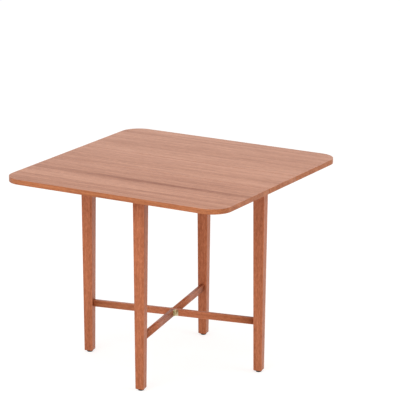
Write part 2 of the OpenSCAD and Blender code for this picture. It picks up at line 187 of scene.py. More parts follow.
class DROPLEAF_PG_base(bpy.types.PropertyGroup):
    """Sizes and finish of the legs, rails and stretchers"""

    leg_top: FloatProperty(
        name="Leg Top", description="Width of a leg under the top",
        default=44 * MM, min=40 * MM, max=52 * MM, subtype="DISTANCE", unit="LENGTH")
    leg_foot: FloatProperty(
        name="Leg Foot", description="Width of a leg at the floor",
        default=32 * MM, min=28 * MM, max=40 * MM, subtype="DISTANCE", unit="LENGTH")
    foot_bevel: FloatProperty(
        name="Foot Bevel", description="Bevel round the foot of a leg",
        default=2.5 * MM, min=1 * MM, max=4 * MM, subtype="DISTANCE", unit="LENGTH")
    leg_arris: FloatProperty(
        name="Leg Arris", description="Radius of the eased edges of the legs",
        default=2 * MM, min=0.5 * MM, max=4 * MM, subtype="DISTANCE", unit="LENGTH")
    rail_arris: FloatProperty(
        name="Rail Arris", description="Radius of the eased edges of the rails and stretchers",
        default=1.2 * MM, min=0.5 * MM, max=3 * MM, subtype="DISTANCE", unit="LENGTH")
    rail_thick: FloatProperty(
        name="Rail Thickness", description="Thickness of the rails and stretchers",
        default=15 * MM, min=14 * MM, max=20 * MM, subtype="DISTANCE", unit="LENGTH")
    screw_bore: FloatProperty(
        name="Screw Bore", description="Radius of the holes under the fixed rail for the top's screws",
        default=4.7 * MM, min=4.2 * MM, max=6 * MM, subtype="DISTANCE", unit="LENGTH")
    light: FloatVectorProperty(
        name="Light Wood", description="Lightest tone of the base's grain",
        default=(0.64, 0.214, 0.090), min=0, max=1, subtype="COLOR")
    mid: FloatVectorProperty(
        name="Middle Wood", description="Middle tone of the base's grain",
        default=(0.47, 0.143, 0.057), min=0, max=1, subtype="COLOR")
    dark: FloatVectorProperty(
        name="Dark Wood", description="Darkest tone of the base's grain",
        default=(0.29, 0.078, 0.029), min=0, max=1, subtype="COLOR")
    figure: FloatProperty(
        name="Figure", description="Strength of the grain's streaks on the base",
        default=0.7, min=0, max=2, subtype="FACTOR")
    mottle: FloatProperty(
        name="Mottle", description="Strength of the small flecks on the base",
        default=1.5, min=0, max=2, subtype="FACTOR")
    matt: FloatProperty(
        name="Roughness", description="Roughness of the wood's surface",
        default=0.5, min=0.1, max=0.9, subtype="FACTOR")
    gloss: FloatProperty(
        name="Gloss", description="Index of refraction of the wood's finish",
        default=1.35, min=1.1, max=1.6)
    shine: FloatProperty(
        name="Shine", description="Reflection of the wood under its lacquer",
        default=0.2, min=0, max=1, subtype="FACTOR")
    lacquer: FloatProperty(
        name="Lacquer", description="Weight of the clear lacquer over the wood",
        default=0.40, min=0, max=1, subtype="FACTOR")
    coat_matt: FloatProperty(
        name="Lacquer Roughness", description="Roughness of the clear lacquer",
        default=0.46, min=0, max=1, subtype="FACTOR")


class DROPLEAF_PG_hardware(bpy.types.PropertyGroup):
    """Sizes and finish of the hinges, screws and glides"""

    leaf_head: FloatProperty(
        name="Leaf Screw Head", description="Radius of the heads of the leaf hinges' screws",
        default=3.2 * MM, min=2 * MM, max=4 * MM, subtype="DISTANCE", unit="LENGTH")
    leaf_screw: FloatProperty(
        name="Leaf Screw Length", description="Length of the leaf hinges' screws",
        default=13 * MM, min=8 * MM, max=14 * MM, subtype="DISTANCE", unit="LENGTH")
    gate_head: FloatProperty(
        name="Gate Screw Head", description="Radius of the heads of the gate hinges' screws",
        default=2.2 * MM, min=1.5 * MM, max=3 * MM, subtype="DISTANCE", unit="LENGTH")
    gate_screw: FloatProperty(
        name="Gate Screw Length", description="Length of the gate hinges' screws",
        default=9 * MM, min=6 * MM, max=11 * MM, subtype="DISTANCE", unit="LENGTH")
    brass: FloatVectorProperty(
        name="Brass", description="Colour of the hinge plates and their screws",
        default=(0.70, 0.62, 0.39), min=0, max=1, subtype="COLOR")
    steel: FloatVectorProperty(
        name="Steel", description="Colour of the pins and the top's screws",
        default=(0.52, 0.51, 0.49), min=0, max=1, subtype="COLOR")
    glide: FloatVectorProperty(
        name="Glide", description="Colour of the glides",
        default=(0.018, 0.015, 0.013), min=0, max=1, subtype="COLOR")
    glide_shine: FloatProperty(
        name="Glide Shine", description="Reflection of the glides",
        default=0.15, min=0, max=1, subtype="FACTOR")


class DROPLEAF_PG_stage(bpy.types.PropertyGroup):
    """Camera, floor and lamps"""

    lens: FloatProperty(
        name="Lens", description="Focal length of the camera, in millimetres, on a 36 mm sensor",
        default=215.0, min=20, max=400)
    distance: FloatProperty(
        name="Distance", description="Distance of the camera from the point it looks at",
        default=9.694, min=1, max=30, subtype="DISTANCE", unit="LENGTH")
    target: FloatVectorProperty(
        name="Target", description="Point that the camera looks at",
        default=(-0.3697, 0.8393, 0.375), subtype="TRANSLATION", unit="LENGTH")
    azimuth: FloatProperty(
        name="Azimuth", description="Direction of the camera round the table",
        default=math.radians(29.851), subtype="ANGLE", unit="ROTATION")
    elevation: FloatProperty(
        name="Elevation", description="Height of the camera above the level, as an angle",
        default=math.radians(15.2135), subtype="ANGLE", unit="ROTATION")
    roll: FloatProperty(
        name="Roll", description="Turn of the picture about its middle",
        default=math.radians(0.2433), subtype="ANGLE", unit="ROTATION")
    floor: FloatVectorProperty(
        name="Floor", description="Colour of the floor",
        default=(0.80, 0.79, 0.775), min=0, max=1, subtype="COLOR")
    glow: FloatProperty(
        name="Floor Glow", description="Part of the floor's look that is plain white light",
        default=0.5, min=0, max=1, subtype="FACTOR")
    white: FloatProperty(
        name="White Light", description="Strength of the plain white light of the floor",
        default=1.46, min=0.5, max=2)
    world: FloatProperty(
        name="World", description="Strength of the even light from all round",
        default=0.74, min=0, max=3)
    key: FloatProperty(
        name="Key Lamp", description="Power of the large lamp in front",
        default=74.0, min=0, max=2000, unit="POWER")
    fill: FloatProperty(
        name="Fill Lamp", description="Power of the large lamp at the right",
        default=40.0, min=0, max=2000, unit="POWER")


def settings():
    """The four groups of settings of this scene."""
    scene = bpy.context.scene
    return (scene.dropleaf_boards, scene.dropleaf_base, scene.dropleaf_hardware,
            scene.dropleaf_stage)


# Node trees


def add(tree, kind, inputs=None, **values):
    """Adds a node; inputs maps a socket's name or number to a value or to a socket that feeds it."""
    made = tree.nodes.new(kind)
    for name, value in values.items():
        setattr(made, name, value)
    fill(tree, made, inputs or {})
    return made


def fill(tree, made, inputs):
    """Sets a node's inputs, each to a value or to a socket that feeds it."""
    for key, value in inputs.items():
        if isinstance(value, bpy.types.NodeSocket):
            tree.links.new(value, made.inputs[key])
        else:
            made.inputs[key].default_value = value


def new_group(name, kind, ins, outs):
    """A node group with named sockets, with its input sockets and its output sockets."""
    tree = bpy.data.node_groups.new(name, kind)
    for label, socket, value in ins:
        made = tree.interface.new_socket(label, in_out="INPUT", socket_type="NodeSocket" + socket)
        if value is not None:
            made.default_value = value
    for label, socket in outs:
        tree.interface.new_socket(label, in_out="OUTPUT", socket_type="NodeSocket" + socket)
    return tree, add(tree, "NodeGroupInput").outputs, add(tree, "NodeGroupOutput").inputs


def give(tree, out, sockets):
    """Leads sockets to a group's outputs, by name."""
    for label, socket in sockets.items():
        tree.links.new(socket, out[label])


def maths(tree, operation, a, b=0.0, clamp=False):
    """Socket of a Math node."""
    return add(tree, "ShaderNodeMath", {0: a, 1: b}, operation=operation, use_clamp=clamp).outputs[0]


def mixed(tree, factor, a, b):
    """Socket of a colour mix."""
    return add(tree, "ShaderNodeMix", {0: factor, 6: a, 7: b}, data_type="RGBA").outputs[2]


def swing(tree, noise, strength):
    """Socket that goes from minus half the strength to plus half of it over a noise's usual range."""
    spread = add(tree, "ShaderNodeMapRange", {0: noise, 1: 0.28, 2: 0.72, 3: -0.5, 4: 0.5}).outputs[0]
    return maths(tree, "MULTIPLY", spread, strength)


def streaks(tree, vector, along, across, seed, detail, rough):
    """Noise drawn out along X, with its scale along the grain and across it, per metre."""
    drawn = add(tree, "ShaderNodeVectorMath", {0: vector, 1: (along, across, across)},
                operation="MULTIPLY").outputs[0]
    return add(tree, "ShaderNodeTexNoise",
               {"Vector": drawn, "W": seed, "Scale": 1.0, "Detail": detail, "Roughness": rough},
               noise_dimensions="4D").outputs[0]


def spots(tree, vector, scale, detail):
    """Noise of one scale in all directions."""
    return add(tree, "ShaderNodeTexNoise",
               {"Vector": vector, "Scale": scale, "Detail": detail}).outputs[0]


def threshold(tree, value, low, high):
    """Socket that rises from 0 to 1 as value goes from low to high."""
    return add(tree, "ShaderNodeMapRange", {0: value, 1: low, 2: high},
               interpolation_type="SMOOTHSTEP").outputs[0]


def wood_figure_group():
    """Grain of lacquered wood that runs along X, as colour, roughness and height."""
    tree, given, out = new_group(
        "wood_figure", "ShaderNodeTree",
        [("Vector", "Vector", None), ("Light", "Color", (0.5, 0.2, 0.1, 1)),
         ("Middle", "Color", (0.4, 0.15, 0.07, 1)), ("Dark", "Color", (0.3, 0.1, 0.05, 1)),
         ("Tone", "Float", 0.0), ("Seed", "Float", 0.0), ("Figure", "Float", 1.0),
         ("Mottle", "Float", 1.0), ("Roughness", "Float", 0.4)],
        [("Color", "Color"), ("Roughness", "Float"), ("Height", "Float"), ("Cover", "Float")])
    vector, seed, figure = given["Vector"], given["Seed"], given["Figure"]

    # A slow wander bends the streaks a little across the grain
    push = swing(tree, streaks(tree, vector, 1.6, 5.0, seed, 2.0, 0.5), 0.008)
    bend = add(tree, "ShaderNodeCombineXYZ", {"Y": push, "Z": push}).outputs[0]
    bent = add(tree, "ShaderNodeVectorMath", {0: vector, 1: bend}, operation="ADD").outputs[0]

    broad = streaks(tree, bent, 0.7, 14.0, seed, 2.0, 0.5)
    ribbon = streaks(tree, bent, 1.3, 42.0, seed, 3.0, 0.7)
    fibre = streaks(tree, bent, 9.0, 210.0, seed, 4.0, 0.75)
    hair = streaks(tree, bent, 45.0, 1400.0, seed, 3.0, 0.7)
    cloud = streaks(tree, bent, 60.0, 160.0, seed, 4.0, 0.7)
    pore = threshold(tree, streaks(tree, bent, 75.0, 1300.0, seed, 1.0, 0.5), 0.60, 0.68)

    # A tone of 0 is the darkest wood, 0.5 the middle one and 1 the lightest
    tone = maths(tree, "ADD", given["Tone"], 0.5)
    for noise, strength, share in (
            (broad, 0.22, figure), (ribbon, 0.52, figure), (fibre, 0.52, figure),
            (hair, 0.36, figure), (cloud, 0.45, given["Mottle"])):
        step = maths(tree, "MULTIPLY", swing(tree, noise, strength), share)
        tone = maths(tree, "ADD", tone, step)
    doubled = maths(tree, "MULTIPLY", tone, 2.0)
    low = mixed(tree, maths(tree, "MINIMUM", doubled, 1.0, clamp=True), given["Dark"], given["Middle"])
    high = mixed(tree, maths(tree, "SUBTRACT", doubled, 1.0, clamp=True), low, given["Light"])
    colour = mixed(tree, maths(tree, "MULTIPLY", pore, 0.5), high, given["Dark"])

    roughness = given["Roughness"]
    for noise, strength in ((fibre, 0.05), (cloud, 0.05)):
        roughness = maths(tree, "ADD", roughness, swing(tree, noise, strength))
    grain = maths(tree, "ADD", swing(tree, hair, 0.5), swing(tree, fibre, 0.5))
    height = maths(tree, "SUBTRACT", grain, maths(tree, "MULTIPLY", pore, 0.6))

    # The lacquer stands fuller on light wood than on dark
    lighter = maths(tree, "SUBTRACT", tone, 0.5)
    cover = maths(tree, "ADD", 1.0, maths(tree, "MULTIPLY", lighter, 1.6))
    give(tree, out, {"Color": colour, "Roughness": roughness, "Height": height, "Cover": cover})
    return tree


def metal_figure_group():
    """Slight dulling and brushing of bare metal, as colour, roughness and height."""
    tree, given, out = new_group(
        "metal_figure", "ShaderNodeTree",
        [("Vector", "Vector", None), ("Bright", "Color", (0.6, 0.5, 0.3, 1)),
         ("Dull", "Color", (0.4, 0.3, 0.2, 1)), ("Smooth", "Float", 0.25), ("Rough", "Float", 0.45)],
        [("Color", "Color"), ("Roughness", "Float"), ("Height", "Float")])
    vector = given["Vector"]
    dulled = threshold(tree, spots(tree, vector, 110.0, 5.0), 0.34, 0.82)
    brushed = streaks(tree, vector, 300.0, 4200.0, 0.0, 2.0, 0.5)
    colour = mixed(tree, dulled, given["Bright"], given["Dull"])
    spread = maths(tree, "SUBTRACT", given["Rough"], given["Smooth"])
    roughness = maths(tree, "ADD", given["Smooth"], maths(tree, "MULTIPLY", dulled, spread))
    give(tree, out, {"Color": colour, "Roughness": roughness, "Height": brushed})
    return tree


def shared_group(name, maker):
    """A node group that is built once."""
    return bpy.data.node_groups.get(name) or maker()


# Materials


def emptied_tree(owner):
    """The node tree of a material or a world, without its nodes."""
    owner.use_nodes = True
    owner.node_tree.nodes.clear()
    return owner.node_tree


def new_material(name):
    """A material with only its Principled shader."""
    material = bpy.data.materials.new(name)
    tree = emptied_tree(material)
    shader = add(tree, "ShaderNodeBsdfPrincipled")
    add(tree, "ShaderNodeOutputMaterial", {"Surface": shader.outputs[0]})
    return material, tree, shader


def dress(tree, shader, figure, bump, depth):
    """Joins a figure group's outputs to a Principled shader."""
    relief = add(tree, "ShaderNodeBump",
                 {"Height": figure.outputs["Height"], "Strength": bump, "Distance": depth})
    fill(tree, shader, {"Base Color": figure.outputs["Color"],
                        "Roughness": figure.outputs["Roughness"],
                        "Normal": relief.outputs[0]})


def opaque(colour, share=1.0):
    """A property's colour, darkened to a share of itself, with full alpha."""
    return (*(share * c for c in colour), 1.0)


def stave_sockets(tree, place, staves, tone, seed):
    """Tone and seed of the stave at a point of a board, from constant steps across Y."""
    low, high = CAD_BOX[0].y, CAD_BOX[1].y
    across = add(tree, "ShaderNodeSeparateXYZ", {0: place}).outputs["Y"]
    share = add(tree, "ShaderNodeMapRange", {0: across, 1: low, 2: high}).outputs[0]
    ramp = add(tree, "ShaderNodeValToRGB", {0: share})
    ramp.color_ramp.interpolation = "CONSTANT"
    stops = ramp.color_ramp.elements
    stops.remove(stops[0])
    for k, (edge, stave_tone) in enumerate(staves):
        position = max(0.0, (edge - low) / (high - low))
        stop = stops.new(position) if k else stops[0]
        stop.position = position
        stop.color = (0.5 + stave_tone, k / len(staves), 0.0, 1.0)
    parts = add(tree, "ShaderNodeSeparateColor", {0: ramp.outputs[0]}).outputs
    return (maths(tree, "ADD", parts["Red"], tone - 0.5),
            maths(tree, "ADD", maths(tree, "MULTIPLY", parts["Green"], STAVE_SEEDS), seed))


def wood_material(name, group, turn, seed, tone=0.0, staves=None, end_tone=0.0, coats=1.0):
    """Satin-lacquered wood.

    turn carries the grain's direction onto X, tone lightens or darkens it, staves cut it into strips
    with tones of their own, the end tone darkens the end grain, partly as real end grain and partly as
    painted shade, and coats is the share of the lacquer.
    """
    material, tree, shader = new_material(name)
    place = add(tree, "ShaderNodeTexCoord").outputs["Object"]
    mapped = add(tree, "ShaderNodeMapping", {"Vector": place, "Rotation": turn}).outputs[0]
    if staves:
        tone, seed = stave_sockets(tree, place, staves, tone, seed)
    # Faces across the grain are darker: partly real end grain, partly painted shade on the side edges.
    if end_tone:
        ends = add(tree, "ShaderNodeAttribute", attribute_name="end_grain").outputs["Fac"]
        tone = maths(tree, "ADD", maths(tree, "MULTIPLY", ends, end_tone), tone)
    figure = add(tree, "ShaderNodeGroup", node_tree=shared_group("wood_figure", wood_figure_group))
    fill(tree, figure, {"Vector": mapped, "Tone": tone, "Seed": seed,
                        "Light": opaque(group.light), "Middle": opaque(group.mid),
                        "Dark": opaque(group.dark), "Figure": group.figure,
                        "Mottle": group.mottle, "Roughness": group.matt})
    dress(tree, shader, figure, bump=0.08, depth=0.1 * MM)
    coat = maths(tree, "MULTIPLY", figure.outputs["Cover"], group.lacquer * coats)
    fill(tree, shader, {"IOR": group.gloss, "Specular IOR Level": group.shine,
                        "Coat Weight": coat, "Coat Roughness": group.coat_matt})
    return material


def wood_pair(name, turn, seed, face_tone, arris_tone):
    """Wood of the base, for a piece's faces and for its eased edges, whose lighter tone is a painted
    highlight.
    """
    base = bpy.context.scene.dropleaf_base
    return [wood_material(name + "_face", base, turn, seed, face_tone),
            wood_material(name + "_arris", base, turn, seed, arris_tone)]


def metal_material(name, colour, dull, smooth, rough):
    """Bare metal; dull is the share of its colour that is left where it has dulled."""
    material, tree, shader = new_material(name)
    place = add(tree, "ShaderNodeTexCoord").outputs["Object"]
    figure = add(tree, "ShaderNodeGroup", node_tree=shared_group("metal_figure", metal_figure_group))
    fill(tree, figure, {"Vector": place, "Bright": opaque(colour), "Dull": opaque(colour, dull),
                        "Smooth": smooth, "Rough": rough})
    dress(tree, shader, figure, bump=0.06, depth=0.02 * MM)
    fill(tree, shader, {"Metallic": 1.0})
    return material


def glide_material(group):
    """Moulded plastic with a fine matte grain."""
    material, tree, shader = new_material("moulded_plastic")
    place = add(tree, "ShaderNodeTexCoord").outputs["Object"]
    grain = spots(tree, place, 900.0, 3.0)
    scuff = spots(tree, place, 140.0, 4.0)
    worn = threshold(tree, scuff, 0.5, 0.8)
    colour = mixed(tree, worn, opaque(group.glide), opaque(group.glide, 2.2))
    relief = add(tree, "ShaderNodeBump", {"Height": grain, "Strength": 0.25, "Distance": 0.05 * MM})
    fill(tree, shader, {"Base Color": colour, "Normal": relief.outputs[0],
                        "Specular IOR Level": group.glide_shine,
                        "Roughness": maths(tree, "ADD", swing(tree, scuff, 0.2), 0.55)})
    return material


# Meshes


def link(mesh, name):
    """A new object at the origin that shows a mesh."""
    made = bpy.data.objects.new(name, mesh)
    bpy.context.scene.collection.objects.link(made)
    return made


def give_slots(mesh, materials):
    """Puts materials in a mesh's slots, in order, and takes away the slots that are left over."""
    slots = mesh.materials
    while len(slots) > len(materials):
        slots.pop()
    for k, material in enumerate(materials):
        if k < len(slots):
            slots[k] = material
        else:
            slots.append(material)


def polished(piece, materials):
    """A plain copy of a piece as its modifiers leave it, with its materials; the piece goes."""
    graph = bpy.context.evaluated_depsgraph_get()
    mesh = bpy.data.meshes.new_from_object(piece.evaluated_get(graph), depsgraph=graph)
    name = piece.name
    bpy.data.objects.remove(piece)
    mesh.name = name
    give_slots(mesh, materials)
    return link(mesh, name)


def arris(piece, radius, by_weight, materials):
    """Eases a piece's sharp edges, or those with a bevel weight, in the second of its materials, which
    is lighter: a painted highlight.
    """
    give_slots(piece.data, materials)
    bevel = piece.modifiers.new("arris", "BEVEL")
    bevel.width, bevel.segments = radius, 4
    bevel.limit_method = "WEIGHT" if by_weight else "ANGLE"
    bevel.angle_limit = math.radians(60)
    bevel.material = 1
    bevel.harden_normals = True
    bevel.use_clamp_overlap = True


def finish_nodes(words, material):
    """Puts a material on the CAD nodes that have certain words in their names."""
    for name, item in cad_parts.items():
        if words in name:
            item.data.materials.clear()
            item.data.materials.append(material)


def settle(piece, body, slot, *nodes):
    """Puts a finished piece on its body, in place of CAD nodes."""
    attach(piece, body)
    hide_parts(*nodes)
    return piece


def quarter(centre_x, centre_y, radius, start, steps):
    """Points of a quarter circle, anticlockwise from the angle start."""
    angles = [start + math.pi / 2 * k / steps for k in range(steps + 1)]
    return [(centre_x + radius * math.cos(a), centre_y + radius * math.sin(a)) for a in angles]


def board_outline(low, high, radius_low, radius_high):
    """Outline of a board between two corners, with one corner radius at each end of Y."""
    points = []
    for x, y, radius, half_turns in (
            (high.x, low.y, radius_low, -0.5), (high.x, high.y, radius_high, 0.0),
            (low.x, high.y, radius_high, 0.5), (low.x, low.y, radius_low, 1.0)):
        inward_x = radius if x == low.x else -radius
        inward_y = radius if y == low.y else -radius
        steps = 5 if radius == SEAM_CORNER else 32
        points += quarter(x + inward_x, y + inward_y, radius, half_turns * math.pi, steps)
    return points


def finished_mesh(shape, name):
    """Mesh of a shape that was drawn in bmesh; the shape goes."""
    mesh = bpy.data.meshes.new(name)
    shape.to_mesh(mesh)
    shape.free()
    return mesh


def prism(name, outline, low_z, high_z, rim_weight):
    """Upright prism over an outline, its sides in the third material.

    rim_weight gives the share of the bevel that a rim edge takes. The points on the sides keep how
    far the side faces along X, which is where the end grain shows; its darker tone there is partly
    real end grain and partly painted shade.
    """
    shape = bmesh.new()
    base = [shape.verts.new((x, y, low_z)) for x, y in outline]
    bottom = shape.faces.new(reversed(base))
    lifted = bmesh.ops.extrude_face_region(shape, geom=[bottom], use_keep_orig=True)
    top_verts = [v for v in lifted["geom"] if isinstance(v, bmesh.types.BMVert)]
    bmesh.ops.translate(shape, verts=top_verts, vec=(0, 0, high_z - low_z))
    bmesh.ops.recalc_face_normals(shape, faces=shape.faces)
    weight = shape.edges.layers.float.new("bevel_weight_edge")
    for edge in shape.edges:
        a, b = (vert.co for vert in edge.verts)
        if a.z == b.z:
            edge[weight] = rim_weight(a, b)
    ends = shape.verts.layers.float.new("end_grain")
    for face in shape.faces:
        face.smooth = True
        if abs(face.normal.z) < 0.5:
            face.material_index = 2
            for vert in face.verts:
                vert[ends] += face.normal.x ** 2 / 2
    return link(finished_mesh(shape, name), name)


def leg_width(z):
    """Width of a leg at a height, from its taper."""
    base = bpy.context.scene.dropleaf_base
    return base.leg_foot + (base.leg_top - base.leg_foot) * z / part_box("leaf_front")[0].z


def bar(name, near, far, low, high, thick, turn):
    """Rail with its ends at near and far, each a pair of distances at its underside and its top."""
    shape = bmesh.new()
    corners = [(near[0], low), (far[0], low), (far[1], high), (near[1], high)]
    sides = [[shape.verts.new((x, y, z)) for x, z in corners] for y in (-thick / 2, thick / 2)]
    shape.faces.new(sides[0])
    shape.faces.new(reversed(sides[1]))
    weight = shape.edges.layers.float.new("bevel_weight_edge")
    for k in range(4):
        a, b = k, (k + 1) % 4
        shape.faces.new((sides[0][b], sides[0][a], sides[1][a], sides[1][b]))
    for side in sides:
        for a, b in ((0, 1), (2, 3)):
            shape.edges.get((side[a], side[b]))[weight] = 1.0
    bmesh.ops.recalc_face_normals(shape, faces=shape.faces)
    for face in shape.faces:
        face.smooth = True
    mesh = finished_mesh(shape, name)
    mesh.transform(standing(turn))
    return link(mesh, name)


def bored(piece, places, radius, depth):
    """Cuts a round hole up into a piece at each place, and gives back the cutter."""
    shape = bmesh.new()
    for place in places:
        bmesh.ops.create_cone(shape, cap_ends=True, segments=32, radius1=radius, radius2=radius,
                              depth=2 * depth, matrix=place)
    mesh = finished_mesh(shape, piece.name + "_bores")
    cut = piece.modifiers.new("bores", "BOOLEAN")
    cut.operation, cut.solver = "DIFFERENCE", "EXACT"
    cut.object = link(mesh, mesh.name)
    return cut.object


# Geometry Nodes


def geometry_group(name, ins):
    """A Geometry Nodes tree with named inputs after its geometry."""
    return new_group(name, "GeometryNodeTree", [("Geometry", "Geometry", None)] + ins,
                     [("Geometry", "Geometry")])


def grow(points, name, tree, **inputs):
    """Object that a Geometry Nodes tree makes from points, with the tree's inputs set by name."""
    piece = link(points, name)
    modifier = piece.modifiers.new(tree.name, "NODES")
    modifier.node_group = tree
    for socket in tree.interface.items_tree:
        label = socket.name.replace(" ", "_").lower()
        if socket.in_out == "INPUT" and label in inputs:
            modifier[socket.identifier] = inputs[label]
    return piece


def finish_tree(tree, out, shape, material):
    """Ends a tree in Realize Instances and Set Material."""
    real = add(tree, "GeometryNodeRealizeInstances", {0: shape}).outputs[0]
    dressed = add(tree, "GeometryNodeSetMaterial", {"Geometry": real, "Material": material}).outputs[0]
    give(tree, out, {"Geometry": dressed})


def tapered_leg_tree():
    """Square legs that narrow to the foot, each swept along three points of its own height."""
    tree, given, out = geometry_group(
        "tapered_leg",
        [("Top Width", "Float", 44 * MM), ("Foot Width", "Float", 32 * MM),
         ("Foot Bevel", "Float", 2.5 * MM), ("Foot Height", "Float", 6 * MM),
         ("Top Height", "Float", 730 * MM), ("Material", "Material", None)])
    spine = add(tree, "GeometryNodeMeshLine", {"Count": 3}, mode="OFFSET").outputs[0]
    index = add(tree, "GeometryNodeInputIndex").outputs[0]

    def by_point(foot, bevel, top):
        """Socket with one value at each of the three points."""
        chosen = add(tree, "GeometryNodeIndexSwitch", data_type="FLOAT")
        chosen.index_switch_items.new()
        fill(tree, chosen, {"Index": index, 1: foot, 2: bevel, 3: top})
        return chosen.outputs[0]

    height = by_point(given["Foot Height"],
                      maths(tree, "ADD", given["Foot Height"], given["Foot Bevel"]),
                      given["Top Height"])
    both_bevels = maths(tree, "MULTIPLY", given["Foot Bevel"], 2.0)
    sole = maths(tree, "SUBTRACT", given["Foot Width"], both_bevels)
    width = by_point(sole, given["Foot Width"], given["Top Width"])
    place = add(tree, "ShaderNodeCombineXYZ", {"Z": height}).outputs[0]
    risen = add(tree, "GeometryNodeSetPosition", {"Geometry": spine, "Position": place}).outputs[0]
    curve = add(tree, "GeometryNodeMeshToCurve", {0: risen}).outputs[0]
    square = add(tree, "GeometryNodeCurvePrimitiveQuadrilateral",
                 {"Width": 1.0, "Height": 1.0}).outputs[0]
    blank = add(tree, "GeometryNodeCurveToMesh",
                {"Curve": curve, "Profile Curve": square, "Scale": width,
                 "Fill Caps": True}).outputs[0]
    posts = add(tree, "GeometryNodeInstanceOnPoints",
                {"Points": given["Geometry"], "Instance": blank,
                 "Rotation": named_turn(tree)}).outputs[0]
    finish_tree(tree, out, posts, given["Material"])
    return tree


def named_turn(tree):
    """Socket of the turn that each point carries."""
    turn = add(tree, "GeometryNodeInputNamedAttribute", {"Name": "turn"}, data_type="FLOAT_VECTOR")
    return add(tree, "FunctionNodeEulerToRotation", {0: turn.outputs[0]}).outputs[0]


def screw_tree():
    """Screws with a cross recess, one on each point, driven along the point's turned Z."""
    tree, given, out = geometry_group(
        "recessed_screw",
        [("Head Radius", "Float", 3 * MM), ("Rim Radius", "Float", 3 * MM),
         ("Head Height", "Float", 2 * MM), ("Shank Radius", "Float", 1.5 * MM),
         ("Length", "Float", 12 * MM), ("Material", "Material", None)])
    head = add(tree, "GeometryNodeMeshCone",
               {"Vertices": 28, "Radius Top": given["Rim Radius"],
                "Radius Bottom": given["Head Radius"], "Depth": given["Head Height"]}).outputs[0]

    # Two blocks make the cross; they stand half above the head, so that they cut half their height
    blade = add(tree, "ShaderNodeCombineXYZ",
                {"X": maths(tree, "MULTIPLY", given["Head Radius"], 1.15),
                 "Y": maths(tree, "MULTIPLY", given["Head Radius"], 0.26),
                 "Z": maths(tree, "MULTIPLY", given["Head Height"], 0.9)}).outputs[0]
    block = add(tree, "GeometryNodeMeshCube", {"Size": blade}).outputs[0]
    cross = add(tree, "GeometryNodeMeshBoolean", operation="UNION", solver="EXACT")
    for turned in (math.pi / 4, math.pi * 3 / 4):
        arm = add(tree, "GeometryNodeTransform", {"Geometry": block, "Rotation": (0, 0, turned)})
        tree.links.new(arm.outputs[0], cross.inputs[1])

    # The shank starts inside the head, so that the two become one closed solid
    neck = maths(tree, "MULTIPLY", given["Head Height"], 0.8)
    shank = add(tree, "GeometryNodeMeshCone",
                {"Vertices": 16, "Radius Top": 0.0, "Radius Bottom": given["Shank Radius"],
                 "Depth": maths(tree, "SUBTRACT", given["Length"], neck)}).outputs[0]
    lift = add(tree, "ShaderNodeCombineXYZ", {"Z": neck}).outputs[0]
    lifted = add(tree, "GeometryNodeTransform", {"Geometry": shank, "Translation": lift}).outputs[0]
    whole = add(tree, "GeometryNodeMeshBoolean", operation="UNION", solver="EXACT")
    for part in (head, lifted):
        tree.links.new(part, whole.inputs[1])
    cut = add(tree, "GeometryNodeMeshBoolean", {0: whole.outputs[0]}, operation="DIFFERENCE",
              solver="EXACT")
    tree.links.new(cross.outputs[0], cut.inputs[1])
    screws = add(tree, "GeometryNodeInstanceOnPoints",
                 {"Points": given["Geometry"], "Instance": cut.outputs[0],
                  "Rotation": named_turn(tree)}).outputs[0]
    finish_tree(tree, out, screws, given["Material"])
    return tree


def points_mesh(name, places):
    """Mesh of loose points, one for each matrix, which keeps the matrix's turn."""
    mesh = bpy.data.meshes.new(name)
    mesh.from_pydata([place.to_translation() for place in places], [], [])
    turns = mesh.attributes.new("turn", "FLOAT_VECTOR", "POINT")
    for item, place in zip(turns.data, places):
        item.vector = place.to_euler()
    return mesh


# Pieces


class DROPLEAF_OT_boards(bpy.types.Operator):
    """Make the centre panel and the two leaves, with eased edges and staves of their own tones"""

    bl_idname = "dropleaf.boards"
    bl_label = "Boards"

    def execute(self, context):
        boards = context.scene.dropleaf_boards
        along_x = (0.0, 0.0, 0.0)
        wood = [wood_material("board_face", boards, along_x, BOARD_SEED, staves=STAVES),
                # The eased edges are a touch lighter than the faces: a painted highlight.
                wood_material("board_arris", boards, along_x, BOARD_SEED, tone=0.03, staves=STAVES),
                # The board's sides across the grain are darker: partly real end grain, partly painted
                # shade.
                wood_material("board_edge", boards, along_x, BOARD_SEED, tone=-0.06, end_tone=-0.09,
                              coats=0.6)]
        for name, node, body, slot, radii in (
                ("centre_board", "centre_panel", "base", "panel_wood", (SEAM_CORNER, SEAM_CORNER)),
                ("front_leaf_board", "leaf_front", "flap_front", "leaf_wood",
                 (boards.corner, SEAM_CORNER)),
                ("rear_leaf_board", "leaf_rear", "flap_rear", "leaf_wood",
                 (SEAM_CORNER, boards.corner))):
            low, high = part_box(node)
            board = prism(name, board_outline(low, high, *radii), low.z, high.z, self.rim_weight)
            arris(board, boards.ease, True, wood)
            settle(polished(board, wood), body, slot, node)
        return {"FINISHED"}

    @staticmethod
    def rim_weight(a, b):
        """Share of the eased edge's radius: small along the seams, full all round the top."""
        past_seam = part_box("centre_panel")[1].y + 4 * MM
        runs_along_x = abs(a.y - b.y) < 2 * MM
        return 0.3 if runs_along_x and max(abs(a.y), abs(b.y)) < past_seam else 1.0


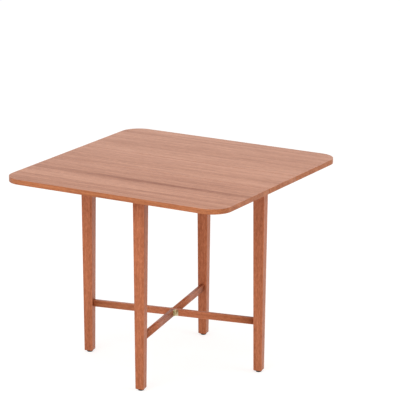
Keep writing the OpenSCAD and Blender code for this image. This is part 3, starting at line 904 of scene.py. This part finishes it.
class DROPLEAF_OT_legs(bpy.types.Operator):
    """Make the four tapered legs, each swept from its foot to its top"""

    bl_idname = "dropleaf.legs"
    bl_label = "Legs"

    def execute(self, context):
        base = context.scene.dropleaf_base
        up_grain = (0.0, math.pi / 2, 0.0)
        # The eased edges are a lighter tone than the faces: a painted highlight.
        wood = wood_pair("leg", up_grain, LEG_SEED, face_tone=0.0, arris_tone=0.14)
        tree = tapered_leg_tree()
        for name, body, turn in (
                ("left", "base", FRAME_TURN + math.pi), ("right", "base", FRAME_TURN),
                ("front", "gate_front", GATE_TURNS[FRONT]), ("rear", "gate_rear", GATE_TURNS[REAR])):
            node = "leg_" + name
            foot = middle("glide_" + name)
            place = Matrix.Translation((foot.x, foot.y, 0)) @ Matrix.Rotation(turn, 4, "Z")
            sole_z, top_z = (corner.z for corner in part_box(node))
            leg = grow(points_mesh(name + "_leg_place", [place]), name + "_leg", tree,
                       top_width=leg_width(top_z), foot_width=base.leg_foot,
                       foot_bevel=base.foot_bevel, foot_height=sole_z,
                       top_height=top_z, material=wood[0])
            arris(leg, base.leg_arris, False, wood)
            settle(polished(leg, wood), body, "leg_wood", node)
        return {"FINISHED"}


class DROPLEAF_OT_rails(bpy.types.Operator):
    """Make the fixed rail and stretcher, and the gates' rails and half stretchers"""

    bl_idname = "dropleaf.rails"
    bl_label = "Rails and Stretchers"

    def execute(self, context):
        # The eased edges are a lighter tone than the faces: a painted highlight.
        wood = wood_pair("fixed_rail", (0, 0, -FRAME_TURN), FIXED_RAIL_SEED,
                         face_tone=0.10, arris_tone=0.16)
        self.fixed_bar("top_rail_bar", "top_rail", wood, top_screw_places())
        self.fixed_bar("stretcher_bar", "stretcher", wood)
        # The eased edges are a lighter tone than the faces: a painted highlight.
        wood = wood_pair("gate_rail", (0, 0, -GATE_TURNS[FRONT]), GATE_RAIL_SEED,
                         face_tone=-0.13, arris_tone=0.0)
        for side, name in SIDE_NAMES.items():
            self.gate_bar(f"{name}_gate_rail_bar", f"gate_rail_{name}", side, wood)
            self.gate_bar(f"{name}_gate_stretcher_bar", f"gate_stretcher_{name}", side, wood)
        return {"FINISHED"}

    @staticmethod
    def leg_faces(reach, node):
        """Distances of a leg's near face at the underside and at the top of a rail."""
        return [reach - leg_width(corner.z) / 2 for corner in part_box(node)]

    def fixed_bar(self, name, node, wood, screws=()):
        """Makes a bar from one fixed leg to the other, bored from below for screws."""
        base = bpy.context.scene.dropleaf_base
        low, high = (corner.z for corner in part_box(node))
        far = self.leg_faces(FIXED_REACH, node)
        near = [-distance for distance in far]
        piece = bar(name, near, far, low, high, base.rail_thick, FRAME_TURN)
        cutter = None
        if screws:
            depth = screws[0].translation.z - low
            mouths = [Matrix.Translation((0, 0, -depth)) @ place for place in screws]
            cutter = bored(piece, mouths, base.screw_bore, depth)
        arris(piece, base.rail_arris, True, wood)
        settle(polished(piece, wood), "base", "rail_wood", node)
        if cutter:
            bpy.data.objects.remove(cutter)

    def gate_bar(self, name, node, side, wood):
        """Makes a bar from the fixed frame's face to a gate's leg."""
        base = bpy.context.scene.dropleaf_base
        low, high = (corner.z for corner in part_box(node))
        butt = base.rail_thick / 2 + GATE_GAP
        far = self.leg_faces(GATE_REACH, node)
        piece = bar(name, (butt, butt), far, low, high, base.rail_thick, GATE_TURNS[side])
        arris(piece, base.rail_arris, True, wood)
        settle(polished(piece, wood), "gate_" + SIDE_NAMES[side], "rail_wood", node)


class DROPLEAF_OT_hinges(bpy.types.Operator):
    """Finish the plates and pins of the leaf hinges and the gate hinges"""

    bl_idname = "dropleaf.hinges"
    bl_label = "Hinges"

    def execute(self, context):
        hardware = context.scene.dropleaf_hardware
        brass = metal_material("dulled_brass", hardware.brass, dull=0.80, smooth=0.28, rough=0.42)
        steel = metal_material("dulled_steel", hardware.steel, dull=0.7, smooth=0.22, rough=0.4)
        finish_nodes("_plate_", brass)
        finish_nodes("_pin_", steel)
        return {"FINISHED"}


class DROPLEAF_OT_screws(bpy.types.Operator):
    """Make the screws of the hinges and of the top, each set grown on its own points"""

    bl_idname = "dropleaf.screws"
    bl_label = "Screws"

    def execute(self, context):
        hardware = context.scene.dropleaf_hardware
        brass = bpy.data.materials["dulled_brass"]
        steel = bpy.data.materials["dulled_steel"]
        tree = screw_tree()

        def make(name, node, body, slot, places, finish, **sizes):
            """Makes one set of screws in place of its node."""
            piece = grow(points_mesh(name + "_places", places), name, tree, material=finish, **sizes)
            settle(polished(piece, [finish]), body, slot, node)

        leaf = self.countersunk(hardware.leaf_head, hardware.leaf_screw)
        gate = self.countersunk(hardware.gate_head, hardware.gate_screw)
        make("panel_hinge_screw_set", "panel_hinge_screws", "base", "hinge_brass",
             leaf_screw_places(FRONT, True) + leaf_screw_places(REAR, True), brass, **leaf)
        make("frame_hinge_screw_set", "frame_hinge_screws", "base", "hinge_brass",
             gate_screw_places(FRONT, False) + gate_screw_places(REAR, False), brass, **gate)
        for side, name in SIDE_NAMES.items():
            make(f"{name}_leaf_screw_set", f"leaf_hinge_screws_{name}", f"flap_{name}",
                 "hinge_brass", leaf_screw_places(side, False), brass, **leaf)
            make(f"{name}_gate_screw_set", f"gate_hinge_screws_{name}", f"gate_{name}",
                 "hinge_brass", gate_screw_places(side, True), brass, **gate)
        make("top_screw_set", "top_screws", "base", "pin_steel", top_screw_places(), steel,
             head_radius=TOP_SCREW_RADIUS * 1.7, rim_radius=TOP_SCREW_RADIUS * 2,
             head_height=TOP_SCREW_RADIUS, shank_radius=TOP_SCREW_RADIUS,
             length=size("top_screws").z)
        return {"FINISHED"}

    @staticmethod
    def countersunk(head, length):
        """Sizes of a wood screw whose head narrows to the shank over half of the head's radius."""
        return {"head_radius": head, "rim_radius": head / 2, "head_height": head / 2,
                "shank_radius": head / 2, "length": length}


class DROPLEAF_OT_glides(bpy.types.Operator):
    """Finish the glides under the legs"""

    bl_idname = "dropleaf.glides"
    bl_label = "Glides"

    def execute(self, context):
        finish_nodes("glide_", glide_material(context.scene.dropleaf_hardware))
        return {"FINISHED"}


# Where the screws are


def leaf_screw_places(side, on_panel):
    """Places of the screws of the leaf hinges at one seam, in the panel's or the leaf's plates."""
    places = []
    board_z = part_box("leaf_front")[0].z
    for place in PLACES:
        pin = middle(f"leaf_pin_{SIDE_NAMES[side]}_{place}")
        low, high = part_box(f"leaf_plate_{SIDE_NAMES[side]}_{place}")
        wide = max(high.y - pin.y, pin.y - low.y)
        away = -side if on_panel else side
        for along, out in LEAF_SCREW_SPOTS:
            places.append(Matrix.Translation((pin.x + along * (high.x - low.x),
                                              pin.y + away * out * wide,
                                              board_z - LEAF_PLATE_THICK)))
    return places


def gate_screw_places(side, on_gate):
    """Places of the screws of a gate's two hinges, in the gate's or the fixed frame's plates."""
    places = []
    turn = FRAME_TURN + (math.pi if side == REAR else 0.0)
    for level in LEVELS:
        pin = middle(f"gate_pin_{SIDE_NAMES[side]}_{level}")
        tall = size(f"gate_plate_{SIDE_NAMES[side]}_{level}").z
        # Local axes at the pin: X away from it over the plate, Y into the wood
        axes = Matrix.Rotation(turn, 4, "Z")
        if on_gate:
            axes = axes @ Matrix.Rotation(-math.pi / 2, 4, "Z") @ Matrix.Rotation(math.pi, 4, "X")
        into_wood = Matrix.Rotation(-math.pi / 2, 4, "X")
        for height in GATE_SCREW_HEIGHTS:
            spot = Matrix.Translation((GATE_SCREW_OUT * GATE_PLATE_WIDE,
                                       GATE_PIN_OFFSET - GATE_PLATE_THICK, height * tall))
            places.append(Matrix.Translation(pin) @ axes @ spot @ into_wood)
    return places


def top_screw_places():
    """Places of the four screws that hold the panel to its rail."""
    head_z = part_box("top_screws")[0].z
    return [standing(FRAME_TURN, x=(k - 1.5) * TOP_SCREW_PITCH, z=head_z) for k in range(4)]


# Stage


def seen_ray(tree):
    """Socket that is 1 for what the camera sees, straight, in a reflection or through glass."""
    rays = add(tree, "ShaderNodeLightPath").outputs
    mirrored = maths(tree, "MAXIMUM", rays["Is Glossy Ray"], rays["Is Transmission Ray"])
    return maths(tree, "MAXIMUM", rays["Is Camera Ray"], mirrored)


def floor_material(stage):
    """Floor that looks white by a share of plain light, and is clear from below."""
    material = bpy.data.materials.new("floor_white")
    tree = emptied_tree(material)
    matt = add(tree, "ShaderNodeBsdfDiffuse", {"Color": opaque(stage.floor)}).outputs[0]
    white = add(tree, "ShaderNodeEmission", {"Color": WHITE, "Strength": stage.white}).outputs[0]
    share = maths(tree, "MULTIPLY", seen_ray(tree), stage.glow)
    above = add(tree, "ShaderNodeMixShader", {0: share, 1: matt, 2: white}).outputs[0]
    below = add(tree, "ShaderNodeNewGeometry").outputs["Backfacing"]
    clear = add(tree, "ShaderNodeBsdfTransparent").outputs[0]
    sided = add(tree, "ShaderNodeMixShader", {0: below, 1: above, 2: clear}).outputs[0]
    add(tree, "ShaderNodeOutputMaterial", {"Surface": sided})
    return material


class DROPLEAF_OT_stage(bpy.types.Operator):
    """Set up the camera, the pale floor, the lamps and the white surroundings"""

    bl_idname = "dropleaf.stage"
    bl_label = "Stage"

    def execute(self, context):
        stage = context.scene.dropleaf_stage
        self.camera(context, stage)
        self.floor(stage)
        self.world(context, stage)
        self.lamp("key_lamp", azimuth=0, elevation=28, wide=3.6, power=stage.key)
        self.lamp("fill_lamp", azimuth=100, elevation=24, wide=2.6, power=stage.fill)
        context.scene.view_settings.view_transform = "Standard"
        return {"FINISHED"}

    @staticmethod
    def direction(azimuth, elevation):
        """Direction from the table to a place round it; an azimuth of 0 is straight in front."""
        return Vector((math.sin(azimuth) * math.cos(elevation),
                       -math.cos(azimuth) * math.cos(elevation), math.sin(elevation)))

    def camera(self, context, stage):
        """Puts the camera where the settings say, turned a little about its own axis."""
        back = self.direction(stage.azimuth, stage.elevation)
        camera = bpy.data.objects.new("camera", bpy.data.cameras.new("camera"))
        context.scene.collection.objects.link(camera)
        camera.data.sensor_width, camera.data.lens = 36.0, stage.lens
        level = Vector((0, 0, 1)).cross(back).normalized()
        above = back.cross(level)
        right = level * math.cos(stage.roll) + above * math.sin(stage.roll)
        up = above * math.cos(stage.roll) - level * math.sin(stage.roll)
        axes = Matrix((right, up, back)).transposed().to_4x4()
        camera.matrix_world = Matrix.Translation(Vector(stage.target) + back * stage.distance) @ axes
        camera.data.clip_end = 100.0
        context.scene.camera = camera

    @staticmethod
    def floor(stage):
        """Lays the floor."""
        mesh = bpy.data.meshes.new("floor")
        corners = [(x * FLOOR_HALF, y * FLOOR_HALF, 0) for x, y in ((-1, -1), (1, -1), (1, 1), (-1, 1))]
        mesh.from_pydata(corners, [], [(0, 1, 2, 3)])
        mesh.materials.append(floor_material(stage))
        link(mesh, "floor")

    @staticmethod
    def world(context, stage):
        """Makes the surroundings: white to look at, and of the set strength as light."""
        world = bpy.data.worlds.new("surroundings")
        context.scene.world = world
        tree = emptied_tree(world)
        soft = add(tree, "ShaderNodeBackground", {"Color": WHITE, "Strength": stage.world}).outputs[0]
        white = add(tree, "ShaderNodeBackground", {"Color": WHITE, "Strength": 1.0}).outputs[0]
        both = add(tree, "ShaderNodeMixShader", {0: seen_ray(tree), 1: soft, 2: white}).outputs[0]
        add(tree, "ShaderNodeOutputWorld", {"Surface": both})

    def lamp(self, name, azimuth, elevation, wide, power):
        """Hangs a round lamp that faces the middle of the table; its angles are in degrees."""
        data = bpy.data.lights.new(name, "AREA")
        data.shape, data.size, data.energy = "DISK", wide, power
        lamp = bpy.data.objects.new(name, data)
        bpy.context.scene.collection.objects.link(lamp)
        away = self.direction(math.radians(azimuth), math.radians(elevation))
        lamp.location = LAMP_CENTRE + away * LAMP_DISTANCE
        lamp.visible_camera = False
        lamp.rotation_mode = "QUATERNION"
        lamp.rotation_quaternion = away.to_track_quat("Z", "Y")


class DROPLEAF_PT_table(bpy.types.Panel):
    """Buttons and settings for building the table"""

    bl_idname = "DROPLEAF_PT_table"
    bl_label = "Drop-Leaf Table"
    bl_space_type = "VIEW_3D"
    bl_region_type = "UI"
    bl_category = "Drop-Leaf Table"

    def draw(self, context):
        for operator in PIECE_OPERATORS:
            self.layout.operator(operator.bl_idname)
        for label, group in zip(("Boards", "Base", "Hardware", "Stage"), settings()):
            box = self.layout.box()
            box.label(text=label)
            for name in group.bl_rna.properties.keys():
                if name not in ("rna_type", "name"):
                    box.prop(group, name)


PIECE_OPERATORS = (
    DROPLEAF_OT_boards, DROPLEAF_OT_legs, DROPLEAF_OT_rails, DROPLEAF_OT_hinges,
    DROPLEAF_OT_screws, DROPLEAF_OT_glides, DROPLEAF_OT_stage,
)
SETTING_GROUPS = {
    "dropleaf_boards": DROPLEAF_PG_boards, "dropleaf_base": DROPLEAF_PG_base,
    "dropleaf_hardware": DROPLEAF_PG_hardware, "dropleaf_stage": DROPLEAF_PG_stage,
}


def register():
    """Registers the settings, the operators and the panel."""
    for name, group in SETTING_GROUPS.items():
        bpy.utils.register_class(group)
        setattr(bpy.types.Scene, name, PointerProperty(type=group))
    for item in (*PIECE_OPERATORS, DROPLEAF_PT_table):
        bpy.utils.register_class(item)


def unregister():
    """Takes the panel, the operators and the settings away again."""
    for item in (DROPLEAF_PT_table, *reversed(PIECE_OPERATORS)):
        bpy.utils.unregister_class(item)
    for name, group in SETTING_GROUPS.items():
        delattr(bpy.types.Scene, name)
        bpy.utils.unregister_class(group)


def main():
    register()
    bpy.ops.dropleaf.boards()
    bpy.ops.dropleaf.legs()
    bpy.ops.dropleaf.rails()
    bpy.ops.dropleaf.hinges()
    bpy.ops.dropleaf.screws()
    bpy.ops.dropleaf.glides()
    bpy.ops.dropleaf.stage()


if __name__ == "__main__":
    main()
